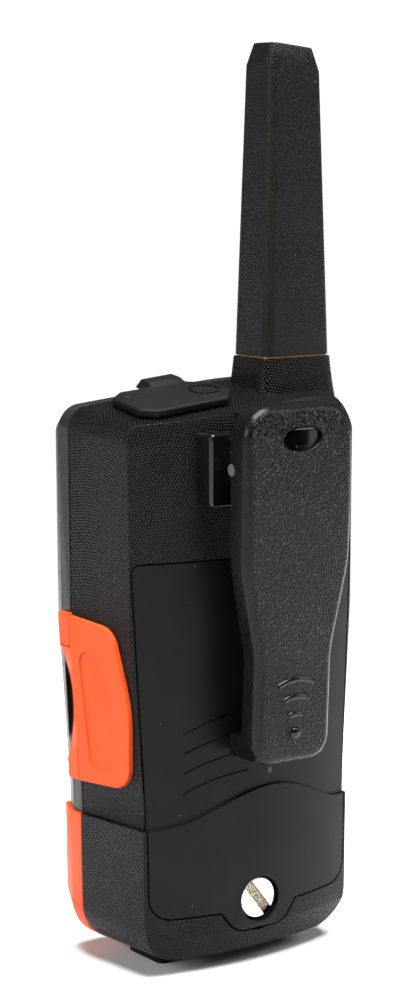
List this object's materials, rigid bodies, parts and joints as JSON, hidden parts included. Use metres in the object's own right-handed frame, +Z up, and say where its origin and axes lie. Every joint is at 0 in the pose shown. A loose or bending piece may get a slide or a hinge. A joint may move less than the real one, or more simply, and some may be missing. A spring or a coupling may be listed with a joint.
{
  "type": "handheld two-way radio",
  "caption": "Rugged handheld two-way radio with a fixed stub antenna, orange side grips, a sprung belt clip and a battery door held by a coin screw.",
  "frame": {"origin": "on the floor, under the middle of the whole radio's box, with the feet on the floor", "axes": "+Z up along the antenna, -Y towards the display side, +Y towards the battery door and belt clip"},
  "size_m": [0.0662, 0.0496, 0.1982],
  "materials": {
    "shell": "satin moulded plastic with a fine dotted texture",
    "door": "fine satin moulded plastic",
    "clip": "coarse pebbled moulded nylon",
    "gloss": "smooth glossy moulded plastic",
    "antenna": "fine leather-grain moulded plastic",
    "grip": "soft smooth orange rubber",
    "black_rubber": "matte black rubber",
    "key": "matte dark grey silicone keys",
    "window": "clear hard-coated window",
    "lcd": "grey-green display glass",
    "board": "green solder mask",
    "tin": "tinned sheet",
    "nickel": "nickel plate",
    "steel": "spring steel",
    "brass": "machined brass",
    "paper": "black cone paper",
    "cell": "cell jacket"
  },
  "bodies": {
    "root": {"front_shell": "shell", "back_housing": "shell", "shell_gasket": "black_rubber", "chin_bumper": "grip", "front_grip_left": "grip", "front_grip_right": "grip", "back_grip_left": "grip", "back_grip_right": "grip", "lcd_window": "window", "lcd_module": "lcd", "display_board": "board", "key_membrane": "black_rubber", "speaker_basket": "tin", "speaker_cone": "paper", "speaker_mesh": "paper", "microphone": "tin", "microphone_boot": "black_rubber", "main_board": "board", "rf_shield": "tin", "talk_switch": "gloss", "antenna_sheath": "antenna", "antenna_coil": "brass", "antenna_ring": "brass", "headset_jack": "gloss", "charge_port": "tin", "door_seal": "black_rubber", "threaded_insert": "brass", "upper_contacts": "nickel", "lower_springs": "nickel", "cell_left": "cell", "cell_middle": "cell", "cell_right": "cell", "foot_left": "black_rubber", "foot_right": "black_rubber", "housing_screws": "steel", "screw_plugs": "shell"},
    "battery_door": {"battery_door": "door"},
    "lock_washer": {"lock_washer": "steel"},
    "coin_screw": {"coin_screw": "nickel"},
    "clip_base": {"clip_base": "gloss", "clip_pin": "nickel", "clip_spring": "steel"},
    "clip_lever": {"clip_lever": "clip"},
    "clip_latch": {"clip_latch": "gloss"},
    "talk_bar": {"talk_bar": "black_rubber"},
    "jack_cover": {"jack_cover": "black_rubber"},
    "call_key": {"call_key": "key"},
    "power_key": {"power_key": "key"},
    "scan_key": {"scan_key": "key"},
    "down_key": {"down_key": "key"},
    "up_key": {"up_key": "key"}
  },
  "joints": [
    {"name": "door_lift", "type": "slide", "parent": "root", "child": "battery_door", "axis": [0, 1, 0], "range_m": [0, 0.03]},
    {"name": "clip_lift", "type": "slide", "parent": "root", "child": "clip_base", "axis": [0, 1, 0], "range_m": [0, 0.045]},
    {"name": "washer_out", "type": "slide", "parent": "battery_door", "child": "lock_washer", "axis": [0, 1, 0], "range_m": [0, 0.0028]},
    {"name": "screw_turn", "type": "hinge", "parent": "lock_washer", "child": "coin_screw", "pos_m": [0, 0.0062, 0.0148], "axis": [0, 1, 0], "range_deg": [0, 1440]},
    {"name": "clip_swing", "type": "hinge", "parent": "clip_base", "child": "clip_lever", "pos_m": [0, 0.0186, 0.1104], "axis": [1, 0, 0], "range_deg": [0, 14], "stiffness_Nm_per_rad": 0.3, "springref_deg": -2.86},
    {"name": "latch_press", "type": "slide", "parent": "clip_base", "child": "clip_latch", "axis": [0, -1, 0], "range_m": [0, 0.001], "stiffness_N_per_m": 3000},
    {"name": "talk_press", "type": "slide", "parent": "root", "child": "talk_bar", "axis": [1, 0, 0], "range_m": [0, 0.001], "stiffness_N_per_m": 2500},
    {"name": "cover_open", "type": "hinge", "parent": "root", "child": "jack_cover", "pos_m": [0, 0.0034, 0.12209], "axis": [-0.9954, 0, 0.0962], "range_deg": [0, 80]},
    {"name": "call_press", "type": "slide", "parent": "root", "child": "call_key", "axis": [0, 1, 0], "range_m": [0, 0.0006], "stiffness_N_per_m": 2500},
    {"name": "power_press", "type": "slide", "parent": "root", "child": "power_key", "axis": [0, 1, 0], "range_m": [0, 0.0006], "stiffness_N_per_m": 2500},
    {"name": "scan_press", "type": "slide", "parent": "root", "child": "scan_key", "axis": [0, 1, 0], "range_m": [0, 0.0006], "stiffness_N_per_m": 2500},
    {"name": "down_press", "type": "slide", "parent": "root", "child": "down_key", "axis": [0, 1, 0], "range_m": [0, 0.0006], "stiffness_N_per_m": 2500},
    {"name": "up_press", "type": "slide", "parent": "root", "child": "up_key", "axis": [0, 1, 0], "range_m": [0, 0.0006], "stiffness_N_per_m": 2500}
  ],
  "couplings": [
    {"joint": "clip_lift", "follows": "door_lift", "ratio": 1.5},
    {"joint": "screw_turn", "follows": "washer_out", "rad_per_m": 8975}
  ]
}
